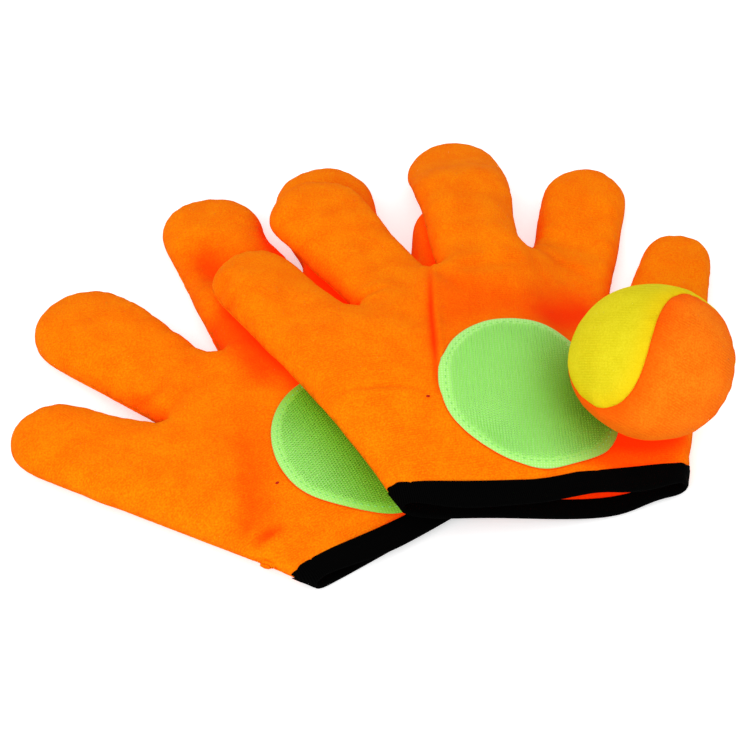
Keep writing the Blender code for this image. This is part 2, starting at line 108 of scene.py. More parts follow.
# Its hooks and stitches
HOOK_PITCH = 0.0011
HOOK_ROW = 0.0012
HOOK_HEIGHT = 0.0008
HOOK_FOOT = 0.00026
HOOK_NECK = 0.00020
HOOK_LEAN = math.radians(75)
HOOK_LOOSE = 0.00018
HOOK_EDGE = 0.0012
STITCH_PITCH = 0.0029
STITCH_SIZE = (0.00085, 0.00030, 0.00022)

# The knit: its ribs, and the clumps of its nap. The real nap is finer than a pixel of the
# photograph, so it is drawn as coarse as it needs to show
KNIT_RIB = 0.0010
NAP_GRAIN = 0.0007

# The ball's cover: its wall in the CAD and here, how far the panels overlap at the seam, the groove
# there and the shade painted along it, the swell beside it, its puckers, and the unevenness of the
# filling
BALL_CAD_WALL = 0.0015
BALL_CLOTH = 0.0012
BALL_SEAM_OVERLAP = 0.00018
BALL_GROOVE = 0.0005
BALL_GROOVE_WIDTH = 0.0010
BALL_SHADE = 0.55
BALL_SHADE_REACH = 0.0060
BALL_SWELL = 0.0004
BALL_SWELL_FROM_SEAM = 0.0045
BALL_SWELL_REACH = 0.0035
BALL_PUCKER = 0.0006
BALL_PUCKER_TURNS = 260
BALL_PUCKER_FROM_SEAM = 0.002
BALL_PUCKER_REACH = 0.0040
BALL_LUMP = 0.0007
BALL_LUMP_TURNS = 55

# Folds in the palm panels: the points that a fold runs through, its half width, its depth, how
# far the cloth on its left side stands higher than on its right, and how much shade is painted
# in it. The cloth beside a fold is raised a little, and a step fades out over STEP_REACH, with
# shade painted on its lower side over STEP_SHADE_REACH
STEP_REACH = 0.0100
STEP_SHADE_REACH = 0.0040
NARROW_FOLD = 0.0021
Fold = namedtuple("Fold", "points width depth step tone")
FOLDS = {
    "front_glove": [
        Fold([(0.0232, 0.0270), (0.0229, 0.0035), (0.0231, -0.0095), (0.0240, -0.0282),
              (0.0246, -0.0415), (0.0252, -0.0560)], 0.0011, 0.0011, 0.0032, 0.75),
        Fold([(-0.0205, -0.0560), (-0.0094, -0.0538), (0.0004, -0.0529), (0.0102, -0.0521),
              (0.0222, -0.0532)], 0.0013, 0.0006, -0.0006, 0.16),
        Fold([(-0.0120, -0.0015), (-0.0070, 0.0015), (-0.0013, 0.0035), (0.0060, 0.0065)],
             0.0015, 0.0007, 0.0, 0.16),
        Fold([(0.0600, 0.0465), (0.0726, 0.0427), (0.0790, 0.0385), (0.0851, 0.0346),
              (0.0921, 0.0290)], 0.0022, 0.0007, 0.0008, 0.20),
        Fold([(0.0640, 0.0500), (0.0669, 0.0346), (0.0693, 0.0244), (0.0724, 0.0174)],
             0.0024, 0.0006, 0.0, 0.12),
        Fold([(0.0643, 0.0267), (0.0523, 0.0225), (0.0397, 0.0184), (0.0273, 0.0156)],
             0.0034, 0.0009, 0.0, 0.14),
        Fold([(0.0240, 0.0168), (0.0312, 0.0103), (0.0392, 0.0031)], 0.0030, 0.0009, 0.0, 0.14),
    ],
    "rear_glove": [
        Fold([(-0.0890, -0.0510), (-0.0810, -0.0440), (-0.0770, -0.0374), (-0.0735, -0.0260)],
             0.0024, 0.0007, 0.0010, 0.12),
        Fold([(-0.1000, -0.0345), (-0.0913, -0.0368), (-0.0850, -0.0325)],
             0.0022, 0.0009, 0.0, 0.42),
        Fold([(-0.0745, -0.0296), (-0.0742, -0.0204), (-0.0766, -0.0091)],
             0.0030, 0.0008, 0.0, 0.10),
        Fold([(-0.0470, -0.1090), (-0.0476, -0.1020), (-0.0480, -0.0936), (-0.0492, -0.0799),
              (-0.0546, -0.0593)], 0.0042, 0.0008, 0.0026, 0.28),
        Fold([(-0.0502, -0.1110), (-0.0495, -0.1075), (-0.0490, -0.1030)],
             0.0022, 0.0007, 0.0, 0.30),
        Fold([(-0.0465, -0.1135), (-0.0430, -0.1105), (-0.0385, -0.1072), (-0.0345, -0.1045)],
             0.0022, 0.0011, 0.0, 0.75),
        Fold([(-0.0516, -0.1010), (-0.0530, -0.1065), (-0.0556, -0.1081), (-0.0590, -0.1050)],
             0.0026, 0.0007, 0.0, 0.18),
    ],
}

# Soft hollows in the palm panels: the points that a hollow runs through, how far it reaches, its
# depth, and how much shade is painted there. Those without depth are only painted shadow
Hollow = namedtuple("Hollow", "points reach depth tone")
HOLLOWS = {
    "front_glove": [
        Hollow([(0.0275, 0.0050), (0.0300, -0.0120), (0.0285, -0.0300)], 0.0090, 0.0008, 0.30),
        Hollow([(0.0450, -0.0020), (0.0595, -0.0020), (0.0725, 0.0043), (0.0836, 0.0120)],
               0.0140, 0.0016, 0.50),
        Hollow([(0.0763, -0.0033), (0.0895, 0.0047)], 0.0110, 0.0010, 0.60),
        Hollow([(0.0960, -0.0600), (0.1097, -0.0606), (0.1221, -0.0575)], 0.0050, 0.0, 0.50),
        Hollow([(-0.0618, 0.0155), (-0.0634, 0.0120)], 0.0030, 0.0012, 0.30),
        Hollow([(-0.0600, 0.0045), (-0.0585, 0.0060)], 0.0026, 0.0009, 0.28),
    ],
    "rear_glove": [
        Hollow([(-0.0721, 0.0448), (-0.0689, 0.0389), (-0.0640, 0.0400)], 0.0088, 0.0045, 0.80),
        Hollow([(-0.0640, 0.0060), (-0.0552, -0.0079), (-0.0454, -0.0254)], 0.0075, 0.0012, 0.60),
        Hollow([(-0.0490, -0.0600), (-0.0455, -0.0790), (-0.0432, -0.1001)], 0.0095, 0.0008, 0.28),
        Hollow([(-0.0445, 0.0660), (-0.0440, 0.0520), (-0.0480, 0.0400)], 0.0075, 0.0006, 0.65),
        Hollow([(-0.0300, 0.0800), (-0.0120, 0.0830), (0.0000, 0.0700), (0.0080, 0.0580)],
               0.0080, 0.0, 0.55),
    ],
}

# Places where the cloth lies a little further over than the rest: the middle, the reach, and
# how far it is pulled
Pull = namedtuple("Pull", "place reach move")
PULLS = {
    "front_glove": [Pull(Vector((-0.0420, 0.0600)), 0.0130, Vector((-0.0026, 0.0000)))],
    "rear_glove": [Pull(Vector((-0.0430, 0.0470)), 0.0130, Vector((0.0058, 0.0010)))],
}

# How the lips of each wrist lie: the place across the hand, how far that reaches to both sides,
# and how much higher the palm's lip and the back's lip lie there
Lip = namedtuple("Lip", "across reach palm back")
LIPS = {
    "front_glove": [Lip(0.0190, 0.0180, 0.0054, 0.0), Lip(-0.0340, 0.0220, -0.0036, 0.0),
                    Lip(0.0490, 0.0130, 0.0, 0.0046)],
    "rear_glove": [Lip(-0.0250, 0.0300, -0.0042, 0.0), Lip(0.0250, 0.0300, -0.0042, 0.0)],
}
LIP_LENGTH = 0.0150

# A knotted end of red thread on each palm, where the patch's place was marked
TACKS = {"front_glove": Vector((0.0212, -0.0564)), "rear_glove": Vector((-0.0377, -0.0850))}
TACK_RADIUS = 0.0007


def linear(hex_colour):
    """An sRGB hex colour as the linear colour that a shader takes."""
    parts = [int(hex_colour[i:i + 2], 16) / 255 for i in (0, 2, 4)]
    return [p / 12.92 if p <= 0.04045 else ((p + 0.055) / 1.055) ** 2.4 for p in parts] + [1]


def add(tree, kind, inputs=None, **settings):
    """Adds a node with its settings; an input is a value or another node's socket."""
    node = tree.nodes.new(kind)
    for name, value in settings.items():
        setattr(node, name, value)
    for socket, value in (inputs or {}).items():
        if isinstance(value, bpy.types.NodeSocket):
            tree.links.new(value, node.inputs[socket])
        else:
            node.inputs[socket].default_value = value
    return node


def new_material(name, settings):
    """A material whose Principled shader has these plain values."""
    made = bpy.data.materials.new(name)
    made.use_nodes = True
    shader = made.node_tree.nodes["Principled BSDF"]
    for socket, value in settings.items():
        shader.inputs[socket].default_value = value
    return made, made.node_tree, shader


def bands(length):
    """Scale of a Wave texture whose bands are that far apart."""
    return math.tau / 20 / length


def covered(tree):
    """How far a surface that faces upwards is closed in by what stands round it, 0 to 1. It is the
    share of painted shade and painted glow on the knit.
    """
    open_sky = add(tree, "ShaderNodeAmbientOcclusion", {"Distance": 0.040}, samples=8)
    closed = add(tree, "ShaderNodeMapRange", {
        "Value": open_sky.outputs["AO"], "From Min": 0.20, "From Max": 0.76,
        "To Min": 1.0, "To Max": 0.0})
    surface = add(tree, "ShaderNodeNewGeometry")
    height = add(tree, "ShaderNodeSeparateXYZ", {"Vector": surface.outputs["Normal"]})
    facing = add(tree, "ShaderNodeMapRange", {
        "Value": height.outputs["Z"], "From Min": 0.0, "From Max": 0.75,
        "To Min": 0.22, "To Max": 1.0})
    both = add(tree, "ShaderNodeMath", {0: closed.outputs["Result"], 1: facing.outputs["Result"]},
               operation="MULTIPLY")
    return both.outputs[0]


def ribs_across(direction):
    """Rotation for a Mapping node that makes the ribs of a pattern lie across this direction."""
    return Vector(direction).rotation_difference(Vector((0, 1, 0))).to_euler()


def brushed_knit(name, light, dark, fold, rib_colour, rib_share, coordinates, turn):
    """Brushed polyester knit in a fluorescent dye: fine ribs half hidden under a short raised
    nap. The nap makes the colour speckle and the edges glow, and takes every hard highlight
    away. Where cloth faces cloth, painted shade turns the colour towards the fold colour, and
    a painted glow in the fold colour keeps it bright; the tone attribute adds more
    painted shade. The coordinates and their turn say which way the ribs run."""
    made, tree, shader = new_material(name, {
        "Roughness": 0.95, "Specular IOR Level": 0.04, "Sheen Weight": 0.45,
        "Sheen Roughness": 0.30, "Sheen Tint": linear(light), "Emission Strength": 0.30})
    where = add(tree, "ShaderNodeTexCoord")
    along = add(tree, "ShaderNodeMapping", {"Vector": where.outputs[coordinates], "Rotation": turn})
    wobble = add(tree, "ShaderNodeTexNoise", {
        "Vector": where.outputs["Object"], "Scale": 1 / 0.012, "Detail": 2})
    bent = add(tree, "ShaderNodeMix", {
        "Factor": 0.0006, "A": along.outputs["Vector"], "B": wobble.outputs["Color"]},
        data_type="VECTOR")
    ribs = add(tree, "ShaderNodeTexWave", {
        "Vector": bent.outputs[1], "Scale": bands(KNIT_RIB)}, bands_direction="Y")
    speckle = add(tree, "ShaderNodeTexNoise", {
        "Vector": where.outputs["Object"], "Scale": 1 / NAP_GRAIN, "Detail": 2, "Roughness": 0.6})
    nap = add(tree, "ShaderNodeTexNoise", {
        "Vector": where.outputs["Object"], "Scale": 1 / 0.011, "Detail": 3, "Roughness": 0.55})
    grain = add(tree, "ShaderNodeMapRange", {
        "Value": speckle.outputs["Fac"], "From Min": 0.35, "From Max": 0.65})
    patchy = add(tree, "ShaderNodeMapRange", {
        "Value": nap.outputs["Fac"], "From Min": 0.40, "From Max": 0.66, "To Max": 0.75})
    brushed = add(tree, "ShaderNodeMapRange", {
        "Value": nap.outputs["Fac"], "From Min": 0.36, "From Max": 0.62,
        "To Min": 0.10, "To Max": -0.10})
    lightness = add(tree, "ShaderNodeMath", {
        0: grain.outputs["Result"], 1: brushed.outputs["Result"]}, operation="ADD", use_clamp=True)
    ground = add(tree, "ShaderNodeMix", {
        "Factor": lightness.outputs[0], "A": linear(dark), "B": linear(light)},
        data_type="RGBA")
    shown = add(tree, "ShaderNodeMath", {0: ribs.outputs["Fac"], 1: patchy.outputs["Result"]},
                operation="MULTIPLY")
    share = add(tree, "ShaderNodeMath", {0: shown.outputs[0], 1: rib_share}, operation="MULTIPLY")
    ribbed = add(tree, "ShaderNodeMix", {
        "Factor": share.outputs[0], "A": ground.outputs[2], "B": linear(rib_colour)},
        data_type="RGBA")
    # Painted shade: closed-in, upward cloth and the tone attribute turn the colour towards the fold
    # colour
    closed = covered(tree)
    folded = add(tree, "ShaderNodeAttribute", attribute_name="tone")
    shade_share = add(tree, "ShaderNodeMath", {0: folded.outputs["Fac"], 1: closed},
                 operation="ADD", use_clamp=True)
    colour = add(tree, "ShaderNodeMix", {
        "Factor": shade_share.outputs[0], "A": ribbed.outputs[2], "B": linear(fold)},
        data_type="RGBA")
    tree.links.new(colour.outputs[2], shader.inputs["Base Color"])
    # Painted glow: where the cloth is closed in, it gives off the fold colour as light
    painted_glow = add(tree, "ShaderNodeMix", {
        "Factor": closed, "A": (0, 0, 0, 1), "B": linear(fold)}, data_type="RGBA")
    tree.links.new(painted_glow.outputs[2], shader.inputs["Emission Color"])
    height = add(tree, "ShaderNodeMath", {
        0: grain.outputs["Result"], 1: 0.9, 2: shown.outputs[0]}, operation="MULTIPLY_ADD")
    bump = add(tree, "ShaderNodeBump", {
        "Height": height.outputs[0], "Strength": 0.55, "Distance": 0.00022})
    tree.links.new(bump.outputs["Normal"], shader.inputs["Normal"])
    return made


def make_materials():
    """Every finish of the set, by the piece that it is for."""
    looks = {}
    # The fold colour of each knit is the colour of its painted shade and painted glow
    looks["glove"] = brushed_knit("orange_brushed_knit", "FF8A02", "FC6C00", "FF3400", "F85C00",
                                  0.6, "UV", (0, 0, 0))
    looks["orange"] = brushed_knit("ball_orange_brushed_knit", "FF8412", "FA6C08", "FF4400",
                                   "EE5A00", 0.6, "Object", ribs_across((0.47, 0.62, 0.62)))
    looks["yellow"] = brushed_knit("yellow_brushed_knit", "E6D824", "DACC18", "F2C400", "CDBB08",
                                   0.6, "Object", ribs_across((0.03, 0.70, 0.70)))

    # Nylon hook tape: the woven ground is a darker green between the rows of hooks
    made, tree, shader = new_material("green_woven_nylon", {
        "Roughness": 0.62, "Specular IOR Level": 0.3, "Sheen Weight": 0.15})
    where = add(tree, "ShaderNodeTexCoord")
    rows = add(tree, "ShaderNodeTexWave", {
        "Vector": where.outputs["UV"], "Scale": bands(HOOK_ROW)}, bands_direction="X")
    picks = add(tree, "ShaderNodeTexWave", {
        "Vector": where.outputs["UV"], "Scale": bands(HOOK_PITCH)}, bands_direction="Y")
    weave = add(tree, "ShaderNodeMath", {0: rows.outputs["Fac"], 1: picks.outputs["Fac"]},
                operation="MULTIPLY")
    plain = add(tree, "ShaderNodeMix", {
        "Factor": weave.outputs[0], "A": linear("A2EC6C"), "B": linear("C2F8A0")},
        data_type="RGBA")
    # Painted shade: the green turns darker and yellower where the ball or the other glove stands
    # beside
    beside = add(tree, "ShaderNodeAttribute", attribute_name="tone")
    colour = add(tree, "ShaderNodeMix", {
        "Factor": beside.outputs["Fac"], "A": plain.outputs[2], "B": linear("7EC400")},
        data_type="RGBA")
    tree.links.new(colour.outputs[2], shader.inputs["Base Color"])
    bump = add(tree, "ShaderNodeBump", {
        "Height": weave.outputs[0], "Strength": 0.7, "Distance": 0.0002})
    tree.links.new(bump.outputs["Normal"], shader.inputs["Normal"])
    looks["hook_ground"] = made

    # Moulded nylon hooks: a paler, slightly glossy green that catches the light as a fine grid
    made, tree, shader = new_material("green_nylon_hooks", {
        "Roughness": 0.42, "IOR": 1.53, "Subsurface Weight": 0.2,
        "Subsurface Radius": (0.0010, 0.0016, 0.0006), "Subsurface Scale": 1.0})
    where = add(tree, "ShaderNodeTexCoord")
    uneven = add(tree, "ShaderNodeTexNoise", {
        "Vector": where.outputs["Object"], "Scale": 1 / 0.0022, "Detail": 3})
    plain = add(tree, "ShaderNodeMix", {
        "Factor": uneven.outputs["Fac"], "A": linear("A6F06E"), "B": linear("D2FCB6")},
        data_type="RGBA")
    # Painted shade: the hooks turn darker and yellower where the ball or the other glove stands
    # beside
    beside = add(tree, "ShaderNodeAttribute", attribute_name="tone")
    colour = add(tree, "ShaderNodeMix", {
        "Factor": beside.outputs["Fac"], "A": plain.outputs[2], "B": linear("8CD008")},
        data_type="RGBA")
    tree.links.new(colour.outputs[2], shader.inputs["Base Color"])
    looks["hooks"] = made

    # Black polyester tape: a dull woven rib that shows only where light grazes it
    made, tree, shader = new_material("black_woven_tape", {
        "Roughness": 1.0, "Specular IOR Level": 0.02})
    where = add(tree, "ShaderNodeTexCoord")
    ribs = add(tree, "ShaderNodeTexWave", {
        "Vector": where.outputs["UV"], "Scale": bands(0.0008)}, bands_direction="X")
    colour = add(tree, "ShaderNodeMix", {
        "Factor": ribs.outputs["Fac"], "A": linear("000000"), "B": linear("040404")},
        data_type="RGBA")
    tree.links.new(colour.outputs[2], shader.inputs["Base Color"])
    bump = add(tree, "ShaderNodeBump", {
        "Height": ribs.outputs["Fac"], "Strength": 0.5, "Distance": 0.0001})
    tree.links.new(bump.outputs["Normal"], shader.inputs["Normal"])
    looks["tape"] = made

    # Spun sewing thread: two plies give each stitch a slant
    for key, name, light, dark in (("green_thread", "green_spun_thread", "98E47C", "7CCC60"),
                                   ("red_thread", "red_spun_thread", "C81800", "A01000")):
        made, tree, shader = new_material(name, {"Roughness": 0.8, "Specular IOR Level": 0.2})
        where = add(tree, "ShaderNodeTexCoord")
        plies = add(tree, "ShaderNodeTexWave", {
            "Vector": where.outputs["Object"], "Scale": bands(0.0005)}, bands_direction="DIAGONAL")
        colour = add(tree, "ShaderNodeMix", {
            "Factor": plies.outputs["Fac"], "A": linear(dark), "B": linear(light)},
            data_type="RGBA")
        tree.links.new(colour.outputs[2], shader.inputs["Base Color"])
        looks[key] = made

    # Loose polyester filling: white crimped fibre, which makes soft clumps
    made, tree, shader = new_material("white_loose_fibre", {
        "Roughness": 1.0, "Specular IOR Level": 0.1, "Sheen Weight": 0.3})
    where = add(tree, "ShaderNodeTexCoord")
    clumps = add(tree, "ShaderNodeTexNoise", {
        "Vector": where.outputs["Object"], "Scale": 1 / 0.004, "Detail": 6, "Roughness": 0.7})
    colour = add(tree, "ShaderNodeMix", {
        "Factor": clumps.outputs["Fac"], "A": linear("D8D8D2"), "B": linear("F6F6F2")},
        data_type="RGBA")
    tree.links.new(colour.outputs[2], shader.inputs["Base Color"])
    bump = add(tree, "ShaderNodeBump", {
        "Height": clumps.outputs["Fac"], "Strength": 0.6, "Distance": 0.0008})
    tree.links.new(bump.outputs["Normal"], shader.inputs["Normal"])
    looks["filling"] = made
    return looks


# Meshes

def connected_parts(faces):
    """These faces, one list for each part in which they join edge to edge."""
    left = set(faces)
    found = []
    while left:
        part = [left.pop()]
        for face in part:
            for edge in face.edges:
                for other in edge.link_faces:
                    if other in left:
                        left.remove(other)
                        part.append(other)
        found.append(part)
    return found


def welded_copy(node):
    """A CAD node's mesh as a bmesh with its loose triangles joined."""
    mesh = bmesh.new()
    mesh.from_mesh(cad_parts[node].data)
    bmesh.ops.remove_doubles(mesh, verts=mesh.verts, dist=0.00001)
    return mesh


def skin_of(node, wall, highest):
    """The upper or lower face of a CAD panel, which is a shell as thick as the wall. Its side
    walls are the faces with an edge as short as that."""
    skin = welded_copy(node)
    sides = [f for f in skin.faces if min(e.calc_length() for e in f.edges) < 1.05 * wall]
    bmesh.ops.delete(skin, geom=sides, context="FACES")
    layers = connected_parts(skin.faces)

    def height(layer):
        area = sum(f.calc_area() for f in layer)
        return sum(f.calc_center_median().z * f.calc_area() for f in layer) / area
    layers.sort(key=height, reverse=highest)
    unwanted = [f for layer in layers[1:] for f in layer]
    bmesh.ops.delete(skin, geom=unwanted, context="FACES")
    return skin


def tree_of(node):
    """A CAD node's surface, to look up what lies near it."""
    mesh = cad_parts[node].data
    return BVHTree.FromPolygons([v.co for v in mesh.vertices], [p.vertices for p in mesh.polygons])


def mark_covered(mesh, node, value):
    """Gives the faces right under a CAD node this material index."""
    tree = tree_of(node)
    for face in mesh.faces:
        if tree.ray_cast(face.calc_center_median(), face.normal, 0.003)[0] is not None:
            face.material_index = value


def keep_largest(mesh, marked, plain):
    """Leaves only the largest connected part of the marked faces marked."""
    parts = connected_parts(f for f in mesh.faces if f.material_index == marked)
    parts.sort(key=len)
    for part in parts[:-1]:
        for face in part:
            face.material_index = plain


def point_tree(places):
    """Places as a tree, to find the one that is nearest to another place."""
    tree = KDTree(len(places))
    for i, place in enumerate(places):
        tree.insert(place, i)
    tree.balance()
    return tree


def absorb(mesh, other):
    """Adds the other mesh's parts to the first mesh."""
    data = bpy.data.meshes.new("absorbed")
    other.to_mesh(data)
    other.free()
    mesh.from_mesh(data)
    bpy.data.meshes.remove(data)


def refined(mesh, levels):
    """The mesh after smooth subdivision."""
    data = bpy.data.meshes.new("coarse")
    for _ in range(4):
        data.materials.append(None)
    mesh.to_mesh(data)
    mesh.free()
    holder = bpy.data.objects.new("coarse", data)
    bpy.context.collection.objects.link(holder)
    finer = holder.modifiers.new("finer", "SUBSURF")
    finer.levels = levels
    finer.render_levels = levels
    view = bpy.context.evaluated_depsgraph_get()
    made = bpy.data.meshes.new_from_object(holder.evaluated_get(view))
    result = bmesh.new()
    result.from_mesh(made)
    bpy.data.objects.remove(holder)
    bpy.data.meshes.remove(data)
    bpy.data.meshes.remove(made)
    return result


def only(mesh, indices):
    """A copy of the mesh with only the faces of these material indices."""
    copy = mesh.copy()
    others = [f for f in copy.faces if f.material_index not in indices]
    bmesh.ops.delete(copy, geom=others, context="FACES")
    return copy


def set_off(mesh, distance):
    """Moves every point along its normal."""
    mesh.normal_update()
    moves = [(v, v.co + distance * v.normal) for v in mesh.verts]
    for vert, place in moves:
        vert.co = place


def lay_out(mesh, wrist, turn):
    """Unwraps the mesh to the flat pattern, which is each point's place in the glove's own axes,
    and clears the marks of its parts. Gives the pattern's width, length and area."""
    back = Matrix.Rotation(-turn, 2)
    uv = mesh.loops.layers.uv.verify()
    places = []
    area = 0.0
    for face in mesh.faces:
        face.material_index = 0
        face.smooth = True
        flat = [back @ (loop.vert.co.xy - wrist) for loop in face.loops]
        for loop, place in zip(face.loops, flat):
            loop[uv].uv = place
        places += flat
        area += abs(sum(a.cross(b) for a, b in zip(flat, flat[1:] + flat[:1]))) / 2
    width = max(p.x for p in places) - min(p.x for p in places)
    length = max(p.y for p in places) - min(p.y for p in places)
    return width, length, area


def new_piece(name, mesh, look, wall=0.0, rounding=0):
    """An object from a bmesh, with its thickness inward (or outward if it is negative)."""
    data = bpy.data.meshes.new(name)
    mesh.to_mesh(data)
    mesh.free()
    data.materials.append(look)
    data.shade_smooth()
    piece = bpy.data.objects.new(name, data)
    bpy.context.collection.objects.link(piece)
    if wall:
        cloth = piece.modifiers.new("cloth", "SOLIDIFY")
        cloth.thickness = abs(wall)
        cloth.offset = -1 if wall > 0 else 1
        cloth.use_even_offset = False
    if rounding:
        soft = piece.modifiers.new("rounded", "SUBSURF")
        soft.levels = rounding
        soft.render_levels = rounding
    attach(piece, "root")
    return piece


# Gloves

PALM, BACK, PALM_BAND, BACK_BAND = range(4)


def glove_bag(name):
    """Both panels as one bag that is open at the wrist, with its faces marked by their part. Its
    seam is creased, slits that the weld leaves in it are closed, and the palm is finer beside
    narrow folds."""
    bag = skin_of(f"{name}_palm_panel", CAD_WALL, True)
    for face in bag.faces:
        face.material_index = PALM
    mark_covered(bag, f"{name}_palm_binding", PALM_BAND)
    keep_largest(bag, PALM_BAND, PALM)
    back = skin_of(f"{name}_back_panel", CAD_WALL, False)
    for face in back.faces:
        face.material_index = BACK
    mark_covered(back, f"{name}_back_binding", BACK_BAND)
    keep_largest(back, BACK_BAND, BACK)
    absorb(bag, back)
    rims = [v for v in bag.verts if v.is_boundary]
    bmesh.ops.remove_doubles(bag, verts=rims, dist=SEAM_WELD)
    slits = []
    for edge in bag.edges:
        middle = (edge.verts[0].co + edge.verts[1].co) / 2
        if edge.is_boundary and wrist_line(own_place(name, middle)) > 0.5 * TAPE_WIDTH:
            slits.append(edge)
    closing = bmesh.ops.holes_fill(bag, edges=slits, sides=0)
    for face in closing["faces"]:
        face.material_index = BACK
    bmesh.ops.recalc_face_normals(bag, faces=bag.faces)
    sewn = bag.edges.layers.float.new("crease_edge")
    seam = set()
    for edge in bag.edges:
        sides = {f.material_index in (BACK, BACK_BAND) for f in edge.link_faces}
        if len(sides) == 2:
            edge[sewn] = 1.0
            seam.add(edge)
    pinched = bag.verts.layers.float.new("crease_vert")
    for vert in bag.verts:
        runs = [e.other_vert(vert).co.xy - vert.co.xy for e in vert.link_edges if e in seam]
        if len(runs) == 2 and runs[0].angle(-runs[1]) > SHARP_TURN:
            vert[pinched] = 1.0
    bag = refined(bag, 2)
    for reach in (0.0060, 0.0035):
        near = [e for e in bag.edges if near_fold(name, e, reach)]
        bmesh.ops.subdivide_edges(bag, edges=near, cuts=1, use_grid_fill=True)
    return bag


def near_fold(name, edge, reach):
    """Whether the edge lies on the palm and close to a narrow fold."""
    if any(f.material_index != PALM for f in edge.link_faces):
        return False
    middle = (edge.verts[0].co.xy + edge.verts[1].co.xy) / 2
    for fold in FOLDS[name]:
        if fold.width < NARROW_FOLD and distance_to(fold.points, middle)[0] < reach:
            return True
    return False


def seam_points(bag):
    """The points on the seam between the palm and the back."""
    found = []
    for vert in bag.verts:
        parts = {f.material_index for f in vert.link_faces}
        if parts & {PALM, PALM_BAND} and parts & {BACK, BACK_BAND}:
            found.append(vert)
    return found


def distance_to(points, place):
    """Distance from a place to a run of points, the share of the run where it is nearest, and
    on which side it lies: 1 to the left of the run, -1 to the right."""
    best = (1e9, 0, 1)
    for i in range(len(points) - 1):
        a = Vector(points[i])
        run = Vector(points[i + 1]) - a
        t = max(0, min(1, (place - a).dot(run) / run.length_squared))
        gap = place - (a + t * run)
        if gap.length < best[0]:
            side = 1 if run.x * gap.y - run.y * gap.x > 0 else -1
            best = (gap.length, (i + t) / (len(points) - 1), side)
    return best


def fold_at(fold, place):
    """How far a fold lifts the cloth at a place, and how much shade is painted there: a trough
    with a raised lip on both sides, and a step across it. The shade is painted in the trough and
    beside the step on its lower side. All of it fades to the ends."""
    gap, share, side = distance_to(fold.points, place)
    fade = math.sin(math.pi * share) ** 0.6
    trough = math.exp(-(gap / fold.width) ** 2)
    lips = math.exp(-((gap - 2.2 * fold.width) / (1.3 * fold.width)) ** 2)
    step = side * math.exp(-gap / STEP_REACH) * (1 - trough)
    lift = 0.45 * fold.depth * lips - fold.depth * trough + 0.5 * fold.step * step
    # Painted shade in the trough, and beside a step on its lower side
    shade = fold.tone * trough
    if fold.step > 0 and side < 0:
        shade += 0.35 * fold.tone * math.exp(-gap / STEP_SHADE_REACH) * (1 - trough)
    return fade * lift, fade * shade


def hollow_at(hollow, place):
    """The same for a hollow."""
    gap = distance_to(hollow.points, place)[0]
    share = math.exp(-(gap / hollow.reach) ** 2)
    return -hollow.depth * share, hollow.tone * share


def fill_out(bag, tree):
    """Stands the palm up from its seam more steeply, as a full glove does."""
    for vert in bag.verts:
        parts = {f.material_index for f in vert.link_faces}
        at, _, gap = tree.find(vert.co)
        if parts & {PALM, PALM_BAND} and gap > 0:
            out = (vert.co.xy - at.xy).length
            vert.co.z += FILL_GAIN * math.exp(-out / FILL_REACH) * (vert.co.z - at.z)


def own_place(name, place):
    """A place in the glove's own axes, from the middle of its wrist."""
    glove = GLOVES[name]
    return Matrix.Rotation(-glove.turn, 2) @ (place.xy - glove.wrist)


def lay_lips(name, bag):
    """Lets the wrist's lips lie higher or lower along their length, and pulls the cloth over
    where it lies further over."""
    for vert in bag.verts:
        for pull in PULLS[name]:
            share = math.exp(-((vert.co.xy - pull.place).length / pull.reach) ** 2)
            vert.co.xy += share * pull.move
        own = own_place(name, vert.co)
        held = max(0, 1 - (own.x / WRIST_HALF) ** 4)
        near = math.exp(-(max(0, own.y) / LIP_LENGTH) ** 2)
        under = all(f.material_index in (BACK, BACK_BAND) for f in vert.link_faces)
        rise = sum((lip.back if under else lip.palm)
                   * math.exp(-((own.x - lip.across) / lip.reach) ** 2) for lip in LIPS[name])
        vert.co.z += held * near * rise


